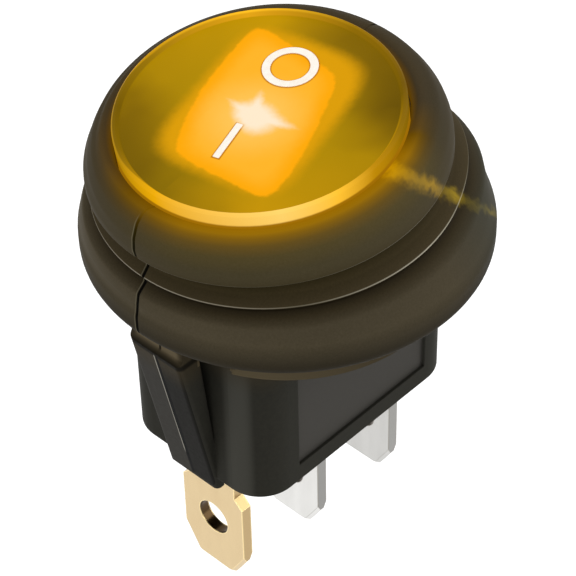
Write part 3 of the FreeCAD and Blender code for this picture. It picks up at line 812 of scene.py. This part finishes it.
# %% Finish: white pad print
ink, tree, shader, places = start_finish("white_pad_print", "F2EADF", 0.45,
                                         Specular_IOR_Level=0.2)
texture(tree, shader, places, 0.3, "EDE4D8", "F8F2E8", (0.4, 0.5), 0.1, 0.005)
feed(tree, shader.inputs["Emission Color"], "FFECD2")
shader.inputs["Emission Strength"].default_value = 0.1
for made in (ring_mark, bar_mark):
    made.data.materials.clear()
    made.data.materials.append(ink)
print("ink on", ring_mark.name, "and", bar_mark.name)

# %% [markdown]
# The housing is glass-filled nylon, nearly black. Its glass fibres are far thinner than a
# pixel; drawn a quarter of a millimetre long, they leave the fine mottle and the soft sheen
# that the eye knows. Its corners are moulded with a small radius, which a Bevel node gives
# to the shading.

# %% Finish: glass-filled nylon
fibre_length = 0.25
nylon, tree, shader, places = start_finish("glass_filled_nylon", "2F2E29", 0.55,
                                           Specular_IOR_Level=0.02)
tint = texture(tree, shader, places, fibre_length, "2B2A25", "302F29", (0.5, 0.6), 0.3, 0.01,
               corner=0.15)
lengthways, sideways, deep = add(tree, "SeparateXYZ", (places,)).outputs
radius = from_axis(tree, places)
normal = add(tree, "TexCoord").outputs["Normal"]
print("the nylon's fibres mottle it every", fibre_length, "mm")

# %% [markdown]
# The recessed panels are painted lighter. They are picked out by their place, and a painted
# sheen, a highlight on the body's near corner, by the way it faces. On each wing the half
# towards +Y is painted lighter, and the faces of the other half that look along the switch's
# length darker: painted light and shade, as the two halves take the light differently. The
# collar and all that is near the boot get painted warm light, as if thrown back from the rubber.

# %% The housing's panels, wings and collar
panel_floor, panel_middle, panel_half, wing_back = 5.7, 0.24, 5.82, 8.95
wide = off_by(tree, sideways)
sunk = add(tree, "Math", (wide, panel_floor, 0.06), operation="COMPARE")
within = add(tree, "Math", (off_by(tree, lengthways, panel_middle), panel_half),
             operation="LESS_THAN")
panelled = over(tree, all_of(tree, sunk, within), tint, "464440")
corner = add(tree, "VectorMath", (normal, (0.965, 0.262, 0)), operation="DOT_PRODUCT")
sheen = all_of(tree, mask(tree, corner, -0.998, -0.91), mask(tree, sideways, -3.4, -2.8))
panelled = over(tree, sheen, panelled, "44433D")

on_wing = add(tree, "Math", (off_by(tree, lengthways), wing_back), operation="GREATER_THAN")
ahead = off_by(tree, add(tree, "SeparateXYZ", (normal,)).outputs[0])
front = all_of(tree, on_wing, add(tree, "Math", (ahead, 0.7), operation="GREATER_THAN"))
half = all_of(tree, on_wing, mask(tree, sideways, 0.1, 0.0))
halved = over(tree, half, over(tree, front, panelled, "1A1916"), "363430")

near_boot = all_of(tree, mask(tree, deep, -1.2, -4.2), 0.8)
warmed = over(tree, near_boot, halved, "3F3727")
ring = all_of(tree, add(tree, "Math", (radius, 9.9, 0.25), operation="COMPARE"),
              add(tree, "Math", (deep, -2.35), operation="GREATER_THAN"))
collared = over(tree, ring, warmed, ramp_of(tree, lengthways, [
    (-8, "5A503C"), (-2, "403828"), (8, "3E3624")]))
print("panels", 2 * panel_half, "mm long")

# %% [markdown]
# The mould parted in the middle of each wing. Its ridge is made to look like a rounded bar by
# paint: a painted highlight along the bar, and painted shade in a groove under it and in a
# notch where the mould parted. Below it the mould line is a dark line of painted shade, widest
# in its middle, with a painted highlight on its pale edge.

# %% The wing's ridge and mould line
bar_height, groove_height, wing_middle = -0.95, -1.62, -7.5
# A painted highlight along the ridge's bar.
bar = all_of(tree, on_wing, mask(tree, off_by(tree, deep, bar_height), 0.15, 0.4),
             mask(tree, wide, 1.5, 2.0))
# Painted shade in the groove under the ridge, and in the notch.
groove_shade = all_of(tree, on_wing, mask(tree, off_by(tree, deep, groove_height), 0.08, 0.35))
notch_shade = all_of(tree, bar, mask(tree, off_by(tree, sideways, -0.28), 0.05, 0.12))
ridged = over(tree, groove_shade, over(tree, bar, collared, "665B46"), "17140D")
ridged = over(tree, notch_shade, ridged, "1C1810")

from_middle = add(tree, "Math", (deep, wing_middle), operation="SUBTRACT")
from_middle = add(tree, "Math", (from_middle, 6.0), operation="DIVIDE")
squared = all_of(tree, from_middle, from_middle)
half_width = add(tree, "Math", (squared, -0.09, 0.17), operation="MULTIPLY_ADD")
below = all_of(tree, on_wing, add(tree, "Math", (deep, -1.75), operation="LESS_THAN"))
dark = add(tree, "Math", (off_by(tree, sideways, -0.13), half_width), operation="LESS_THAN")
pale = all_of(tree, below, mask(tree, off_by(tree, sideways, 0.06), 0.02, 0.055),
              mask(tree, deep, -10.9, -11.6))
lined = over(tree, pale, ridged, "A09D92")
lined = over(tree, all_of(tree, below, dark), lined, "020202")
feed(tree, shader.inputs["Base Color"], lined)
dress(nylon, "housing")
print("finish on the housing, in", len(tree.nodes), "nodes")

# %% [markdown]
# The gold tab is brass with a thin gold plating, the others are brass with a tin plating.
# All are stamped from rolled strip. The flat faces are bright, with streaks along the
# rolling; the sheared edges are duller, and the punched eye, where the plating hardly reaches,
# is painted dark inside, most of it painted shade. A Bevel node rounds the shading at an edge;
# where its normal leaves the true one, an edge is near, and gets a painted line: a highlight
# on the gold tab and a darker line of shade on the tinned ones. The far tab stands in the shade
# of the other two, so its tin is painted darker, as painted shade.

# %% Finish: plated tabs
eye_radius = 1.4
tabs = [("gold_plated_brass", "terminal_lamp", -18.95, "CDB488", "D2BA8E", "AF9568", "F3DCA6"),
        ("tinned_brass", "terminal_line", -19.75, "D0CFCC", "D8D7D4", "858481", "8F8B84"),
        ("tinned_brass_load", "terminal_load", -19.75, "B8B7B4", "C1C0BD", "8C8B88", "8F8B84")]
for name, part, eye_height, dark, light, sheared, line in tabs:
    plated, tree, shader, places = start_finish(name, light, 0.25, 1.0)
    tint = texture(tree, shader, places, 0.8, dark, light, (0.2, 0.26), 0.06, 0.004,
                   corner=0.1, stretch=(1, 1, 0.25))
    facing = add(tree, "SeparateXYZ", (add(tree, "TexCoord").outputs["Normal"],))
    side = add(tree, "Math", (off_by(tree, facing.outputs[0]), 0.5), operation="LESS_THAN")
    split = add(tree, "SeparateXYZ", (places,))
    here = add(tree, "CombineXYZ", (split.outputs[1], split.outputs[2]))
    from_eye = add(tree, "VectorMath", (here, (0, eye_height, 0)), operation="DISTANCE")
    inside_eye = add(tree, "Math", (from_eye, eye_radius), operation="LESS_THAN")
    soft = add(tree, "Bevel", {"Radius": mm(0.16)}, samples=8)
    true = add(tree, "NewGeometry").outputs["True Normal"]
    bend = add(tree, "VectorMath", (soft, true), operation="DOT_PRODUCT")
    edged = over(tree, side, tint, sheared)
    edged = over(tree, all_of(tree, side, inside_eye), edged, "4A3A26")
    edged = over(tree, mask(tree, bend, 0.9, 0.985), edged, line)
    feed(tree, shader.inputs["Base Color"], edged)
    dress(plated, part)
print("finishes on", len(tabs), "tabs")

# %% [markdown]
# The parts inside are hidden while the switch is whole, but a model may be opened or shown
# in section, so each has its own finish too: dark cast resin, silver and copper for what
# carries the current, turned brass, milky acetal for the plunger, drawn steel for the
# springs. The ring round the cap shows in the gap at the mouth, and there the cap's light
# falls on it.

# %% Finishes inside the switch
inside = [("cast_resin", "24221E", "2E2C27", 0.3, 0.0, 0.8, "base_seal"),
          ("silver_contact", "D8D6D0", "E6E4DF", 0.3, 1.0, 0.1, "fixed_contact"),
          ("rolled_copper", "C98A66", "DB9E7B", 0.3, 1.0, 0.08, "contact_blade"),
          ("silver_contact_moving", "D8D6D0", "E6E4DF", 0.3, 1.0, 0.1, "moving_contact"),
          ("carrier_nylon", "2A2A28", "343431", 0.45, 0.0, 0.25, "rocker_carrier"),
          ("ring_nylon", "2A2A28", "343431", 0.45, 0.0, 0.25, "clamp_ring"),
          ("lit_acrylic", "FFB92E", "FFC650", 0.4, 0.0, 0.4, "diffuser"),
          ("led_epoxy", "FFD9A0", "FFE6BE", 0.15, 0.0, 0.5, "led"),
          ("resistor_glaze", "C9A878", "D4B688", 0.35, 0.0, 0.3, "lamp_resistor"),
          ("turned_brass", "CDAA5C", "DCBB70", 0.25, 1.0, 0.05, "lamp_cup_lamp"),
          ("turned_brass_load", "CDAA5C", "DCBB70", 0.25, 1.0, 0.05, "lamp_cup_load"),
          ("natural_acetal", "E6E2D6", "EFECE2", 0.35, 0.0, 0.3, "plunger"),
          ("spring_steel", "A8A8A6", "BDBDBA", 0.25, 1.0, 0.06, "plunger_spring"),
          ("lamp_spring_steel", "A8A8A6", "BDBDBA", 0.25, 1.0, 0.06, "lamp_spring_lamp"),
          ("load_spring_steel", "A8A8A6", "BDBDBA", 0.25, 1.0, 0.06, "lamp_spring_load")]
for name, dark, light, rough, metal, size, part in inside:
    made, tree, shader, places = start_finish(name, light, rough, metal)
    texture(tree, shader, places, size, dark, light, (rough - 0.06, rough + 0.06), 0.15, 0.005)
    dress(made, part)
    if part == "clamp_ring":
        height = add(tree, "SeparateXYZ", (places,)).outputs[2]
        lit = over(tree, mask(tree, height, 9.0, 9.4), "8A6400", "000000")
        feed(tree, shader.inputs["Emission Color"], lit)
        shader.inputs["Emission Strength"].default_value = 0.7
print("inside finishes:", len(inside))

# %% [markdown]
# A spring gets shorter when what it pushes on comes nearer. The model holds its springs as they
# are at rest, so two of them get a copy that stands for them, on the body that holds it. Each
# row also gives its joint, the end that stays in place, and how much is left: its pressed
# length over its free one. The copy is not flattened here. A CAD mesh is made of loose
# triangles, so the copy's points are merged first.

# %% Springs that are pressed
coils = [("plunger_coil", "plunger_spring", "rocker", "plunger_slide",
          (-0.13572, 0, 0.99075), (-0.23, 0, -2.42), 0.66, "spring_steel"),
         ("load_coil", "lamp_spring_load", "base", "rocker_tilt",
          (0, 0, 1), (5.2, 3.2, -10.17), 0.775, "lamp_spring_steel_load")]
for name, part, body, joint, axis, held, keep, slot in coils:
    coil = bpy.data.objects.new(name, nodes[part].data.copy())
    bpy.context.collection.objects.link(coil)
    deselect()
    coil.select_set(True)
    bpy.context.view_layer.objects.active = coil
    bpy.ops.object.mode_set(mode="EDIT")
    bpy.ops.mesh.select_all(action="SELECT")
    bpy.ops.mesh.remove_doubles(threshold=1e-7)
    bpy.ops.object.mode_set(mode="OBJECT")
    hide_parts(part)
    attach(coil, body)
    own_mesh(coil)
    print(name, "keeps", keep, "of its length,", len(nodes[part].data.vertices), "points become",
          len(coil.data.vertices))
